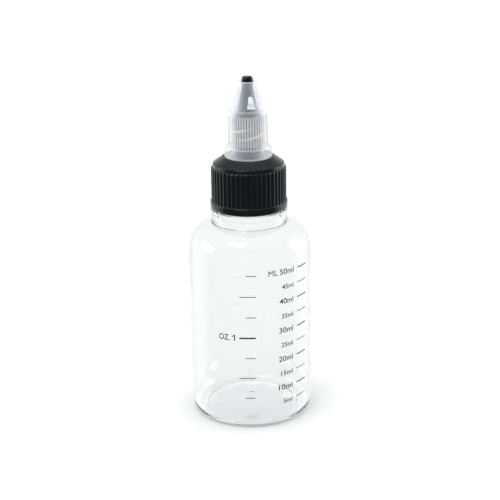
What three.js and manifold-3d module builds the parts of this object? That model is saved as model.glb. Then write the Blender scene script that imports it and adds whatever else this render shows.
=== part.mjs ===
// A small graduated squeeze bottle with a twist-open dropper cap, in millimetres, +Z up.
// The origin is the middle of the base, on the surface that the bottle stands on.
// The front, where the ounce scale is printed, faces -Y.
// Three mouldings make the pack: a clear blown bottle, a black threaded closure with a hollow
// turret and a sealing pin, and a frosted spout that screws up and down on that turret.

import * as THREE from 'three';
import { mergeVertices } from 'three/addons/utils/BufferGeometryUtils.js';
import Module from 'manifold-3d';

const wasm = await Module();
wasm.setup();

// How finely round shapes are drawn
const roundSides = 40;
const arcStep = 18;
const threadStep = 18;

// Clearances between pieces
const seatGap = 0.3;
const runningGap = 0.3;

// Bottle body
const bodyRadius = 18.9;
const bodyWall = 0.6;
const heelRadius = 3;
const baseWall = 0.9;
const standingRingWidth = 1.3;
const pushUpHeight = 2.6;
const pushUpRimWidth = 3.2;
const gateRadius = 1.6;
const gateHeight = 0.5;
const straightWallTop = 53.2;
const shoulderRadius = 9.1;

// Bottle neck, its carrying ring and its threaded finish
const neckRadius = 11.5;
const neckWall = 1.1;
const neckFillet = 0.8;
const neckHeight = 1.6;
const ringRadius = 11.8;
const ringThickness = 1.65;
const ringEdge = 0.3;
const finishHeight = 13.5;
const finishRootRadius = 9.05;
const mouthRadius = 7.7;
const mouthEdge = 0.3;
const neckThreadHeight = 0.8;
const neckThreadWidth = 2.1;
const neckThreadPitch = 3.175;
const neckThreadTurns = 1.5;
const neckThreadDrop = 1.8;

// Closure skirt and its grip ribs
const skirtWall = 0.9;
const skirtHeight = 12.8;
const skirtRibs = 48;
const skirtRibHeight = 0.38;
const skirtRibShare = 0.72;
const rimHeight = 2.5;
const rimProud = 0.37;
const rimEdge = 0.6;
const roofChamfer = 0.7;

// Closure top: the upright band, the cone and the shallow seat for the spout's flange
const bandStep = 0.2;
const bandHeight = 1;
const coneSlope = 34;
const seatDepth = 0.5;
const topWall = 1.2;
const plugWall = 0.7;
const plugDepth = 2.5;

// Closure turret, its thread and seal bead, the windowed post and the sealing pin
const turretRadius = 4.05;
const turretBore = 3.1;
const turretHeight = 12.9;
const turretThreadHeight = 0.35;
const turretThreadWidth = 1;
const turretThreadPitch = 5.6;
const turretThreadStarts = 2;
const turretThreadTurns = 0.9;
const turretThreadRise = 2.6;
const sealBeadWidth = 1.3;
const postRadius = 3.1;
const postShoulder = 1.6;
const postHeight = 6.4;
const postWall = 0.75;
const pinRadius = 1.7;
const pinHeight = 3.6;
const pinEdge = 0.25;
const windowBottomWidth = 2.5;
const windowTopWidth = 1;
const windowHeight = 3.5;
const windowSill = 0.7;
const windowTurn = 22;

// Spout: flange, ribbed grip, step and nozzle
const flangeRadius = 7.3;
const flangeHeight = 2.4;
const flangeEdge = 0.9;
const gripBottomRadius = 6.2;
const gripTopRadius = 5.85;
const gripHeight = 10;
const spoutRibs = 44;
const spoutRibHeight = 0.25;
const spoutRibShare = 0.62;
const gripBand = 0.4;
const stepHeight = 1.5;
const stepInset = 1.2;
const nozzleTopRadius = 3.4;
const nozzleHeight = 8;
const nozzleEdge = 0.9;
const spoutWall = 0.85;
const spoutThreadRoom = 0.25;
const orificeLand = 1;

// Colours
const clearPlastic = 0xeef2f4;
const blackPlastic = 0x17191b;
const frostedPlastic = 0xdfe3e6;

// Heights, each worked out from the piece below it
const neckStart = heightWhereNeckMeetsShoulder();
const ringBottom = neckStart + neckHeight;
const ringTop = ringBottom + ringThickness;
const finishTop = ringTop + finishHeight;
const closureBottom = ringTop + seatGap;
const roofHeight = finishTop + seatGap;
const rimTop = closureBottom + rimHeight;
const skirtTop = closureBottom + skirtHeight;

// Radii and heights of the closure, worked out from the neck that it fits
const skirtBore = finishRootRadius + neckThreadHeight + runningGap;
const grooveRadius = skirtBore + skirtWall;
const skirtRadius = grooveRadius + skirtRibHeight;
const rimRadius = skirtRadius + rimProud;
const bandRadius = grooveRadius - bandStep;
const bandTop = skirtTop + bandHeight;
const seatRadius = flangeRadius + runningGap;
const coneTop = bandTop + (bandRadius - seatRadius) * Math.tan(radians(coneSlope));
const seatFloor = coneTop - seatDepth;
const plugRadius = mouthRadius - runningGap;
const turretTop = seatFloor + turretHeight;
const postBase = turretTop + postShoulder;
const postTop = postBase + postHeight;
const pinTop = postTop + pinHeight;

// Radii and heights of the spout, worked out from the turret that it rides on
const spoutBore = turretRadius + turretThreadHeight + runningGap + spoutThreadRoom;
const sealBeadRadius = spoutBore - runningGap;
const orificeRadius = pinRadius + runningGap;
const spoutBottom = seatFloor + seatGap;
const flangeTop = spoutBottom + flangeHeight;
const gripBottom = flangeTop + flangeEdge;
const gripTop = gripBottom + gripHeight;
const nozzleBottom = gripTop + stepHeight;
const nozzleBottomRadius = gripTopRadius - stepInset;
const spoutTop = nozzleBottom + nozzleHeight;

function radians(degrees) {
  return (degrees * Math.PI) / 180;
}

// A round stretch of an outline, from one angle to another, as [radius, height] points
function arc(centreR, centreZ, radius, fromDegrees, toDegrees) {
  const steps = Math.max(2, Math.ceil(Math.abs(toDegrees - fromDegrees) / arcStep));
  const points = [];
  for (let i = 0; i <= steps; i += 1) {
    const angle = radians(fromDegrees + ((toDegrees - fromDegrees) * i) / steps);
    points.push([centreR + radius * Math.cos(angle), centreZ + radius * Math.sin(angle)]);
  }
  return points;
}

// A shoulder arc that runs into an upright wall through a fillet: both arcs, bottom to top
function shoulderAndFillet(centreR, centreZ, radius, wallRadius, fillet) {
  const across = wallRadius + fillet - centreR;
  const up = Math.sqrt((radius + fillet) ** 2 - across ** 2);
  const meet = (Math.atan2(up, across) * 180) / Math.PI;
  const shoulder = arc(centreR, centreZ, radius, 0, meet);
  const hollow = arc(wallRadius + fillet, centreZ + up, fillet, meet + 180, 180);
  return [...shoulder, ...hollow.slice(1)];
}

function heightWhereNeckMeetsShoulder() {
  const across = neckRadius + neckFillet - (bodyRadius - shoulderRadius);
  return straightWallTop + Math.sqrt((shoulderRadius + neckFillet) ** 2 - across ** 2);
}

// A closed triangle mesh as a solid that can be joined and cut
function solidFrom(geometry) {
  const bare = geometry.clone();
  bare.deleteAttribute('normal');
  bare.deleteAttribute('uv');
  const merged = mergeVertices(bare, 1e-4);
  const corners = merged.index.array;
  const kept = [];
  for (let i = 0; i < corners.length; i += 3) {
    const [a, b, c] = [corners[i], corners[i + 1], corners[i + 2]];
    if (a !== b && b !== c && a !== c) kept.push(a, b, c);
  }
  const vertProperties = new Float32Array(merged.attributes.position.array);
  const triVerts = new Uint32Array(kept);
  return new wasm.Manifold(new wasm.Mesh({ numProp: 3, vertProperties, triVerts }));
}

// A finished solid as a three.js mesh
function meshFrom(solid, name, material) {
  const { vertProperties, triVerts } = solid.getMesh();
  const geometry = new THREE.BufferGeometry();
  geometry.setAttribute('position', new THREE.BufferAttribute(new Float32Array(vertProperties), 3));
  geometry.setIndex(new THREE.BufferAttribute(new Uint32Array(triVerts), 1));
  geometry.computeVertexNormals();
  const mesh = new THREE.Mesh(geometry, material);
  mesh.name = name;
  return mesh;
}

// A solid of revolution about +Z; the outline runs up its outside, from axis to axis
function turned(outline) {
  const points = outline.map(([r, z]) => new THREE.Vector2(Math.max(r, 0), z));
  const geometry = new THREE.LatheGeometry(points, roundSides);
  geometry.rotateX(Math.PI / 2);
  return solidFrom(geometry);
}

// A ridge of trapezoid section wound into a right-hand helix, fading out at both ends.
// A straight bar is drawn first, in steps along its length, and then bent round the axis.
function threadRidge({ root, height, width, pitch, turns, startZ, startDegrees }) {
  const embed = height * 0.6;
  const shape = new THREE.Shape([
    new THREE.Vector2(-embed, -width / 2),
    new THREE.Vector2(0, -width / 2),
    new THREE.Vector2(height, -width / 5),
    new THREE.Vector2(height, width / 5),
    new THREE.Vector2(0, width / 2),
    new THREE.Vector2(-embed, width / 2),
  ]);
  const steps = Math.ceil((turns * 360) / threadStep);
  const bar = new THREE.ExtrudeGeometry(shape, { depth: 1, steps, bevelEnabled: false });
  const place = bar.attributes.position;
  for (let i = 0; i < place.count; i += 1) {
    const along = place.getZ(i);
    const fade = Math.min(1, along * turns * 6, (1 - along) * turns * 6);
    const out = place.getX(i) > 0 ? place.getX(i) * fade : place.getX(i);
    const angle = radians(startDegrees) - along * turns * 2 * Math.PI;
    const z = startZ + place.getY(i) - along * turns * pitch;
    place.setXYZ(i, (root + out) * Math.cos(angle), (root + out) * Math.sin(angle), z);
  }
  return solidFrom(bar);
}

// A prism whose outline has rounded upright ribs, tapering from bottom to top
function ribbedPrism({ ribs, crest, height, share, bottom, top, taper }) {
  const pitch = (2 * Math.PI) / ribs;
  const root = crest - height;
  const sunk = root - height;
  const section = [
    [-0.5, sunk],
    [-0.42, root],
    [-0.25, root + height * 0.75],
    [0, crest],
    [0.25, root + height * 0.75],
    [0.42, root],
    [0.5, sunk],
  ];
  const outline = [];
  for (let i = 0; i < ribs; i += 1) {
    for (const [offset, radius] of section) {
      const angle = (i + offset * share) * pitch;
      outline.push(new THREE.Vector2(radius * Math.cos(angle), radius * Math.sin(angle)));
    }
  }
  const settings = { depth: top - bottom, steps: 1, bevelEnabled: false };
  const prism = new THREE.ExtrudeGeometry(new THREE.Shape(outline), settings);
  const place = prism.attributes.position;
  for (let i = 0; i < place.count; i += 1) {
    const scale = 1 + ((taper - 1) * place.getZ(i)) / (top - bottom);
    const [x, y] = [place.getX(i) * scale, place.getY(i) * scale];
    place.setXYZ(i, x, y, place.getZ(i) + bottom);
  }
  return solidFrom(prism);
}

// The bottle's outer skin, from the middle of its base to the middle of its mouth
function bottleOutside() {
  const centreR = bodyRadius - shoulderRadius;
  const ringInner = bodyRadius - heelRadius - standingRingWidth;
  return [
    [0, pushUpHeight + gateHeight],
    [gateRadius, pushUpHeight + gateHeight],
    [gateRadius + gateHeight, pushUpHeight],
    [ringInner - pushUpRimWidth, pushUpHeight * 0.6],
    [ringInner, 0],
    ...arc(bodyRadius - heelRadius, heelRadius, heelRadius, -90, 0),
    ...shoulderAndFillet(centreR, straightWallTop, shoulderRadius, neckRadius, neckFillet),
    [neckRadius, ringBottom],
    [ringRadius - ringEdge, ringBottom],
    [ringRadius, ringBottom + ringEdge],
    [ringRadius, ringTop - ringEdge],
    [ringRadius - ringEdge, ringTop],
    [finishRootRadius, ringTop],
    [finishRootRadius, finishTop - mouthEdge],
    [finishRootRadius - mouthEdge, finishTop],
    [0, finishTop],
  ];
}

// The space inside the bottle, from its base to past its mouth
function bottleInside() {
  const centreR = bodyRadius - shoulderRadius;
  const ringInner = bodyRadius - heelRadius - standingRingWidth;
  const innerHeel = heelRadius - bodyWall;
  const innerNeck = neckRadius - neckWall;
  const innerShoulder = shoulderRadius - bodyWall;
  const floor = baseWall;
  return [
    [0, floor + pushUpHeight + gateHeight / 2],
    [gateRadius, floor + pushUpHeight],
    [ringInner - pushUpRimWidth, floor + pushUpHeight * 0.6],
    [ringInner, floor],
    ...arc(bodyRadius - heelRadius, innerHeel + floor, innerHeel, -90, 0),
    ...shoulderAndFillet(centreR, straightWallTop, innerShoulder, innerNeck, neckFillet),
    [innerNeck, ringBottom - neckFillet],
    [mouthRadius, ringBottom + ringThickness / 2],
    [mouthRadius, finishTop - mouthEdge],
    [mouthRadius + mouthEdge, finishTop],
    [mouthRadius + mouthEdge, finishTop + 1],
    [0, finishTop + 1],
  ];
}

function makeBottle() {
  const thread = threadRidge({
    root: finishRootRadius,
    height: neckThreadHeight,
    width: neckThreadWidth,
    pitch: neckThreadPitch,
    turns: neckThreadTurns,
    startZ: finishTop - neckThreadDrop,
    startDegrees: 200,
  });
  return turned(bottleOutside()).add(thread).subtract(turned(bottleInside()));
}

// The closure's outer skin without its ribs and threads
function closureOutside() {
  return [
    [0, closureBottom],
    [rimRadius - rimEdge, closureBottom],
    [rimRadius, closureBottom + rimEdge],
    [rimRadius, rimTop - rimProud],
    [grooveRadius, rimTop],
    [grooveRadius, skirtTop],
    [bandRadius, skirtTop + bandStep / 2],
    [bandRadius, bandTop],
    [seatRadius, coneTop],
    [seatRadius, seatFloor],
    [turretRadius, seatFloor],
    [turretRadius, turretTop - 2 * sealBeadWidth],
    [sealBeadRadius, turretTop - 1.75 * sealBeadWidth],
    [sealBeadRadius, turretTop - 1.25 * sealBeadWidth],
    [turretRadius, turretTop - sealBeadWidth],
    [turretRadius, turretTop],
    [postRadius, postBase],
    [pinRadius, postTop],
    [pinRadius, pinTop - pinEdge],
    [pinRadius - pinEdge, pinTop],
    [0, pinTop],
  ];
}

// The hollow of the closure: the threaded bore, the space in the plug seal and the turret's bore
function closureInside() {
  const cored = seatFloor - topWall;
  const innerPost = postRadius - postWall;
  return [
    [0, closureBottom - 1],
    [skirtBore, closureBottom - 1],
    [skirtBore, roofHeight - roofChamfer],
    [skirtBore - roofChamfer, roofHeight],
    [plugRadius, roofHeight],
    [plugRadius, roofHeight - plugDepth + plugWall],
    [plugRadius - plugWall / 2, roofHeight - plugDepth],
    [plugRadius - plugWall, roofHeight - plugDepth],
    [plugRadius - plugWall, cored],
    [turretBore, cored],
    [turretBore, turretTop],
    [innerPost, postBase],
    [pinRadius - postWall, postTop - postWall],
    [0, postTop - postWall],
  ];
}

// One trapezoid opening right through the post, which leaves two legs to carry the pin
function postWindow() {
  const sill = postBase + windowSill;
  const head = sill + windowHeight;
  const length = 4 * postRadius;
  const shape = new THREE.Shape([
    new THREE.Vector2(-windowBottomWidth / 2, sill),
    new THREE.Vector2(windowBottomWidth / 2, sill),
    new THREE.Vector2(windowTopWidth / 2, head),
    new THREE.Vector2(-windowTopWidth / 2, head),
  ]);
  const cutter = new THREE.ExtrudeGeometry(shape, { depth: length, bevelEnabled: false });
  cutter.translate(0, 0, -length / 2);
  cutter.rotateX(Math.PI / 2);
  cutter.rotateZ(radians(windowTurn));
  return solidFrom(cutter);
}

// The rounded top that the skirt's ribs are trimmed to
function ribTrim() {
  return turned([
    [0, closureBottom],
    [skirtRadius + rimProud, closureBottom],
    [skirtRadius + rimProud, skirtTop - 1.2 * skirtRibHeight],
    [skirtRadius, skirtTop - 1.2 * skirtRibHeight],
    [skirtRadius - skirtRibHeight * 0.3, skirtTop - 0.4 * skirtRibHeight],
    [grooveRadius, skirtTop],
    [0, skirtTop],
  ]);
}

function makeClosure() {
  const ribs = ribbedPrism({
    ribs: skirtRibs,
    crest: skirtRadius,
    height: skirtRibHeight,
    share: skirtRibShare,
    bottom: rimTop - rimProud,
    top: skirtTop,
    taper: 1,
  }).intersect(ribTrim());
  let closure = turned(closureOutside()).add(ribs);
  for (let i = 0; i < turretThreadStarts; i += 1) {
    closure = closure.add(
      threadRidge({
        root: turretRadius,
        height: turretThreadHeight,
        width: turretThreadWidth,
        pitch: turretThreadPitch,
        turns: turretThreadTurns,
        startZ: seatFloor + turretThreadRise + turretThreadTurns * turretThreadPitch,
        startDegrees: (i * 360) / turretThreadStarts,
      }),
    );
  }
  return closure.subtract(turned(closureInside())).subtract(postWindow());
}

// The spout's outer skin, from its flange to its rounded tip
function spoutOutside() {
  const grooveBottom = gripBottomRadius - spoutRibHeight;
  const grooveTop = gripTopRadius - spoutRibHeight;
  return [
    [0, spoutBottom],
    [flangeRadius, spoutBottom],
    [flangeRadius, flangeTop],
    [flangeRadius - flangeEdge / 3, gripBottom - flangeEdge / 3],
    [grooveBottom, gripBottom],
    [grooveTop, gripTop - gripBand],
    [gripTopRadius, gripTop - gripBand],
    [gripTopRadius, gripTop],
    [gripTopRadius - stepInset / 3, gripTop + stepHeight / 2],
    [nozzleBottomRadius + stepInset / 6, gripTop + stepHeight * 0.7],
    [nozzleBottomRadius, nozzleBottom],
    [nozzleTopRadius, spoutTop - nozzleEdge],
    ...arc(nozzleTopRadius - nozzleEdge, spoutTop - nozzleEdge, nozzleEdge, 0, 90).slice(1),
    [0, spoutTop],
  ];
}

// The hollow of the spout, from below its flange to past its orifice
function spoutInside() {
  const nozzleBore = nozzleBottomRadius - spoutWall;
  return [
    [0, spoutBottom - 1],
    [spoutBore, spoutBottom - 1],
    [spoutBore, gripTop - spoutWall / 2],
    [nozzleBore, nozzleBottom],
    [nozzleTopRadius - spoutWall, spoutTop - orificeLand - spoutWall],
    [orificeRadius, spoutTop - orificeLand],
    [orificeRadius, spoutTop + 1],
    [0, spoutTop + 1],
  ];
}

function makeSpout() {
  const ribs = ribbedPrism({
    ribs: spoutRibs,
    crest: gripBottomRadius,
    height: spoutRibHeight,
    share: spoutRibShare,
    bottom: gripBottom - spoutRibHeight,
    top: gripTop - gripBand / 2,
    taper: gripTopRadius / gripBottomRadius,
  });
  return turned(spoutOutside()).add(ribs).subtract(turned(spoutInside()));
}

function plastic(name, color, roughness) {
  return new THREE.MeshStandardMaterial({ name, color, roughness, metalness: 0 });
}

const clearMaterial = plastic('clear_plastic', clearPlastic, 0.08);
clearMaterial.transparent = true;
clearMaterial.opacity = 0.25;
const blackMaterial = plastic('black_plastic', blackPlastic, 0.3);
const frostedMaterial = plastic('frosted_plastic', frostedPlastic, 0.45);

const pack = new THREE.Group();
pack.name = 'graduated_bottle';
pack.add(meshFrom(makeBottle(), 'bottle', clearMaterial));
pack.add(meshFrom(makeClosure(), 'closure', blackMaterial));
pack.add(meshFrom(makeSpout(), 'twist_spout', frostedMaterial));

export default pack;
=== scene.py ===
# %% [markdown]
# A graduated squeeze bottle with a twist-open cap.
# The pack has three mouldings: a clear blown bottle with a printed scale, a black screw closure
# with a hollow turret and a sealing pin, and a frosted spout that screws up and down on it.
# The frame holds the same three pieces with plain facets. Here each one gets a smooth skin of
# the same size, its fine threads and print, and a plastic that behaves like the real one.

# %% Load the frame
import math

import bmesh
import bpy
from mathutils import Matrix, Vector


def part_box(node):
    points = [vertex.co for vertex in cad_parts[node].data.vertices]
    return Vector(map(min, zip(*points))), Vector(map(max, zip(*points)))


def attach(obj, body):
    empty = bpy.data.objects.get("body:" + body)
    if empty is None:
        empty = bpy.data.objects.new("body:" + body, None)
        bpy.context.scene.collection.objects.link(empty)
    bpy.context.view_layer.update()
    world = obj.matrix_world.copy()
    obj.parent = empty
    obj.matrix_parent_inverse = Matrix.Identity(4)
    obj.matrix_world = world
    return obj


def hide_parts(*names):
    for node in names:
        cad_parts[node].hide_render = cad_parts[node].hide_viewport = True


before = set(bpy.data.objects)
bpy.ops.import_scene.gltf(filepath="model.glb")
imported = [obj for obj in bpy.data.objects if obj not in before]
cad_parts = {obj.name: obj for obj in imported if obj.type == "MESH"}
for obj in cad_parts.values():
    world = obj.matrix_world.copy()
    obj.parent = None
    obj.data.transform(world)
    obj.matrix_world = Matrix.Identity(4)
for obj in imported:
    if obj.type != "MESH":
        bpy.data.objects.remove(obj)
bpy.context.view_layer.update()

MM = 0.001
scene = bpy.context.scene


def put_in_scene(name, data):
    """A new object with this data, which stands at the origin."""
    thing = bpy.data.objects.new(name, data)
    scene.collection.objects.link(thing)
    return thing


# %% [markdown]
# The camera comes first, because the pose of the whole picture hangs on it. A long lens stands
# well back, looks down by about twenty degrees and leans over by one. The small upward shift
# keeps the bottle in the middle of a square picture without tilting the lens further.

# %% Camera
CAMERA_DISTANCE = 400 * MM
CAMERA_HEIGHT = 191.5 * MM
CAMERA_DIP = math.radians(20.76)
CAMERA_ROLL = math.radians(-0.88)
CAMERA_SHIFT = (-0.0007, 0.0733)
CAMERA_LENS = 98.7
SENSOR_WIDTH = 36

camera_data = bpy.data.cameras.new("camera")
camera_data.lens = CAMERA_LENS
camera_data.sensor_width = SENSOR_WIDTH
camera_data.shift_x, camera_data.shift_y = CAMERA_SHIFT
camera = put_in_scene("camera", camera_data)
camera_place = Matrix.Translation((0, -CAMERA_DISTANCE, CAMERA_HEIGHT))
camera_dip = Matrix.Rotation(math.pi / 2 - CAMERA_DIP, 4, "X")
camera_roll = Matrix.Rotation(CAMERA_ROLL, 4, "Z")
camera.matrix_world = camera_place @ (camera_dip @ camera_roll)
scene.camera = camera
print("camera at", tuple(round(v, 3) for v in camera.location), "m")

# %% [markdown]
# Every round piece of this pack is a turned shape, so its section is drawn once, as radius and
# height in millimetres, and spun about the middle. A third number at a corner is its rounding.
# Real mouldings have no razor edges, and it is the rounded edges that catch the light.

# %% Outline helpers
ARC_STEP = 6
CORNER_STEPS = 4
CORNER_REACH = 0.45


def arc(centre_r, centre_z, radius, start, end):
    """A round stretch of an outline between two angles in degrees."""
    count = max(2, math.ceil(abs(end - start) / ARC_STEP))
    angles = [math.radians(start + (end - start) * k / count) for k in range(count + 1)]
    return [(centre_r + radius * math.cos(a), centre_z + radius * math.sin(a)) for a in angles]


def rounded(outline):
    """Round each corner that carries a third number, along less than half of its sides."""
    points = []
    for i, corner in enumerate(outline):
        if len(corner) == 2:
            points.append(tuple(corner))
            continue
        here = Vector(corner[:2])
        before = Vector(outline[i - 1][:2]) - here
        after = Vector(outline[(i + 1) % len(outline)][:2]) - here
        start = here + before.normalized() * min(corner[2], before.length * CORNER_REACH)
        end = here + after.normalized() * min(corner[2], after.length * CORNER_REACH)
        for k in range(CORNER_STEPS + 1):
            t = k / CORNER_STEPS
            points.append(tuple(start * (1 - t) ** 2 + here * 2 * t * (1 - t) + end * t**2))
    return points


def divided(start, end, longest):
    """A straight stretch cut into equal steps no longer than the given one."""
    count = max(1, math.ceil(math.dist(start, end) / longest))
    return [tuple(Vector(start).lerp(Vector(end), k / count)) for k in range(count + 1)]


def shoulder_and_fillet(centre_r, centre_z, radius, wall_radius, fillet):
    """A shoulder arc that runs up into an upright wall through a hollow fillet."""
    across = wall_radius + fillet - centre_r
    up = math.sqrt((radius + fillet) ** 2 - across**2)
    meet = math.degrees(math.atan2(up, across))
    hollow = arc(wall_radius + fillet, centre_z + up, fillet, meet + 180, 180)
    return arc(centre_r, centre_z, radius, 0, meet) + hollow[1:]


# %% Turning an outline into a closed mesh
SHARP_EDGE = math.radians(38)
SAME_SPOT = 1e-4
ON_AXIS = 1e-6


def merged_points(outline, ring):
    """The outline without points that lie on the one before."""
    points = [outline[0]]
    for point in outline[1:]:
        if math.dist(point, points[-1]) > SAME_SPOT:
            points.append(point)
    if ring and math.dist(points[0], points[-1]) < SAME_SPOT:
        points.pop()
    return points


def turned(name, outline, sides, ring=False):
    """Spin an outline about the middle; a ring's outline closes on itself, off the axis."""
    points = merged_points(outline, ring)
    mesh = bpy.data.meshes.new(name)
    vertices = []
    rows = []
    for r, z in points:
        count = 1 if r < ON_AXIS else sides
        rows.append(range(len(vertices), len(vertices) + count))
        for k in range(count):
            angle = 2 * math.pi * k / sides
            vertices.append((r * math.cos(angle) * MM, r * math.sin(angle) * MM, z * MM))
    pairs = list(zip(rows, rows[1:])) + ([(rows[-1], rows[0])] if ring else [])
    pairs = [(low, high) for low, high in pairs if len(low) + len(high) > 2]
    faces = []
    for low, high in pairs:
        for k in range(sides):
            corners = [low[k % len(low)], low[(k + 1) % len(low)]]
            corners += [high[(k + 1) % len(high)], high[k % len(high)]]
            faces.append(list(dict.fromkeys(corners)))
    mesh.from_pydata(vertices, [], faces)
    body = bmesh.new()
    body.from_mesh(mesh)
    bmesh.ops.recalc_face_normals(body, faces=body.faces)
    body.to_mesh(mesh)
    body.free()
    return put_in_scene(name, mesh)


def finished(piece, material):
    """Smooth the skin, keep true edges sharp, and give it its material."""
    mesh = piece.data
    mesh.shade_smooth()
    mesh.set_sharp_from_angle(angle=SHARP_EDGE)
    mesh.materials.clear()
    mesh.materials.append(material)
    print(piece.name, "has", sum(len(f.vertices) - 2 for f in mesh.polygons), "triangles")
    return piece


# %% [markdown]
# The sizes below are the mould's own, in millimetres. They are those that the frame was built
# with, apart from fine ribs and edges, which a smooth skin can show better. Each height grows
# from the piece below it, as the pack goes together: the closure seats on the carrying ring,
# and the spout seats in the closure.

# %% Sizes of the bottle
SEAT_GAP = 0.3
RUNNING_GAP = 0.3
BODY_RADIUS = 18.9
BODY_WALL = 0.6
HEEL_RADIUS = 3
BASE_WALL = 0.9
STANDING_RING_WIDTH = 1.3
PUSH_UP_HEIGHT = 2.6
PUSH_UP_CURVE = 3.7
GATE_RADIUS = 1.6
GATE_HEIGHT = 0.12
STRAIGHT_WALL_TOP = 53.2
SHOULDER_RADIUS = 9.1
NECK_RADIUS = 11.5
NECK_WALL = 1.1
NECK_FILLET = 0.8
NECK_HEIGHT = 1.6
RING_RADIUS = 11.8
RING_THICKNESS = 1.65
RING_EDGE = 0.3
FINISH_HEIGHT = 13.5
FINISH_ROOT_RADIUS = 9.05
MOUTH_RADIUS = 7.7
MOUTH_EDGE = 0.3
NECK_PITCH = 3.175
NECK_TURNS = 1.5

shoulder_centre = BODY_RADIUS - SHOULDER_RADIUS
neck_across = NECK_RADIUS + NECK_FILLET - shoulder_centre
neck_start = STRAIGHT_WALL_TOP + math.sqrt((SHOULDER_RADIUS + NECK_FILLET) ** 2 - neck_across**2)
ring_bottom = neck_start + NECK_HEIGHT
ring_top = ring_bottom + RING_THICKNESS
finish_top = ring_top + FINISH_HEIGHT
print("neck from", round(neck_start, 2), "mm, mouth at", round(finish_top, 2), "mm")

# %% Sizes of the closure
SKIRT_WALL = 0.9
SKIRT_HEIGHT = 12.8
SKIRT_RIBS = 48
SKIRT_RIB_HEIGHT = 0.38
RIM_HEIGHT = 2.5
RIM_PROUD = 0.37
RIM_EDGE = 0.6
ROOF_CHAMFER = 0.7
BAND_STEP = 0.2
BAND_HEIGHT = 1
CONE_SLOPE = math.radians(34)
SEAT_DEPTH = 0.5
TOP_WALL = 1.2
PLUG_WALL = 0.7
PLUG_DEPTH = 2.5
NECK_THREAD_HEIGHT = 0.8
TURRET_RADIUS = 4.05
TURRET_BORE = 3.1
TURRET_HEIGHT = 12.9
TURRET_THREAD_HEIGHT = 0.35
TURRET_PITCH = 5.6
SEAL_BEAD_WIDTH = 1.3
POST_RADIUS = 3.1
POST_SHOULDER = 1.6
POST_HEIGHT = 6.4
POST_WALL = 0.75
PIN_RADIUS = 1.7
PIN_HEIGHT = 3.6
PIN_EDGE = 1.1

# %% Sizes of the spout
FLANGE_RADIUS = 7.3
FLANGE_HEIGHT = 2.4
FLANGE_EDGE = 0.9
GRIP_BOTTOM_RADIUS = 6.2
GRIP_TOP_RADIUS = 5.85
GRIP_HEIGHT = 10
SPOUT_RIBS = 46
SPOUT_RIB_HEIGHT = 0.25
GRIP_BAND = 0.4
STEP_HEIGHT = 1.5
STEP_INSET = 1.2
NOZZLE_TOP_RADIUS = 3.4
NOZZLE_HEIGHT = 8
NOZZLE_EDGE = 0.9
SPOUT_WALL = 0.85
SPOUT_THREAD_ROOM = 0.25
ORIFICE_LAND = 1

# %% Heights and radii that follow from them
closure_bottom = ring_top + SEAT_GAP
roof_height = finish_top + SEAT_GAP
rim_top = closure_bottom + RIM_HEIGHT
skirt_top = closure_bottom + SKIRT_HEIGHT
skirt_bore = FINISH_ROOT_RADIUS + NECK_THREAD_HEIGHT + RUNNING_GAP
groove_radius = skirt_bore + SKIRT_WALL
skirt_radius = groove_radius + SKIRT_RIB_HEIGHT
rim_radius = skirt_radius + RIM_PROUD
band_radius = groove_radius - BAND_STEP
band_top = skirt_top + BAND_HEIGHT
seat_radius = FLANGE_RADIUS + RUNNING_GAP
cone_top = band_top + (band_radius - seat_radius) * math.tan(CONE_SLOPE)
seat_floor = cone_top - SEAT_DEPTH
plug_radius = MOUTH_RADIUS - RUNNING_GAP
turret_top = seat_floor + TURRET_HEIGHT
post_base = turret_top + POST_SHOULDER
post_top = post_base + POST_HEIGHT
pin_top = post_top + PIN_HEIGHT
spout_bore = TURRET_RADIUS + TURRET_THREAD_HEIGHT + RUNNING_GAP + SPOUT_THREAD_ROOM
seal_bead_radius = spout_bore - RUNNING_GAP
orifice_radius = PIN_RADIUS + RUNNING_GAP
spout_bottom = seat_floor + SEAT_GAP
flange_top = spout_bottom + FLANGE_HEIGHT
grip_bottom = flange_top + FLANGE_EDGE
grip_top = grip_bottom + GRIP_HEIGHT
nozzle_bottom = grip_top + STEP_HEIGHT
nozzle_bottom_radius = GRIP_TOP_RADIUS - STEP_INSET
spout_top = nozzle_bottom + NOZZLE_HEIGHT

for node, top in (("bottle", finish_top), ("closure", pin_top), ("twist_spout", spout_top)):
    frame_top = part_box(node)[1][2] / MM
    print(f"{node}: top {top:.2f} mm here and {frame_top:.2f} mm in the frame")


# %% [markdown]
# Node trees, for geometry and for shaders alike, are built with a few small helpers. They feed
# one socket or several, add any node, and add a sum or a vector, which keeps each tree short.

# %% Node helpers
def feed(tree, value, socket):
    """Join another node's socket to this one, or set this one to a plain value."""
    if isinstance(value, bpy.types.NodeSocket):
        tree.links.new(value, socket)
    else:
        socket.default_value = value


def feed_all(tree, node, **values):
    """Feed several inputs of a node by name, with _ for a space."""
    for key, value in values.items():
        feed(tree, value, node.inputs[key.replace("_", " ")])
    return node


def feed_in_order(tree, node, *values):
    """Feed the first inputs of a node one after the other."""
    for value, socket in zip(values, node.inputs):
        feed(tree, value, socket)
    return node.outputs[0]


def add_node(tree, kind, settings=None, **values):
    """Add a node; settings are its properties, values its inputs by name."""
    node = tree.nodes.new(kind)
    for key, value in (settings or {}).items():
        setattr(node, key, value)
    return feed_all(tree, node, **values)


def sum_of(tree, operation, *values, clamp=False):
    """One line of arithmetic on numbers or fields."""
    node = add_node(tree, "ShaderNodeMath", {"operation": operation, "use_clamp": clamp})
    return feed_in_order(tree, node, *values)


def vector_of(tree, **values):
    """A vector from its X, Y and Z."""
    return add_node(tree, "ShaderNodeCombineXYZ", **values).outputs[0]


def parts_of(tree, vector):
    """The X, Y and Z of a vector."""
    return add_node(tree, "ShaderNodeSeparateXYZ", Vector=vector).outputs


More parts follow.
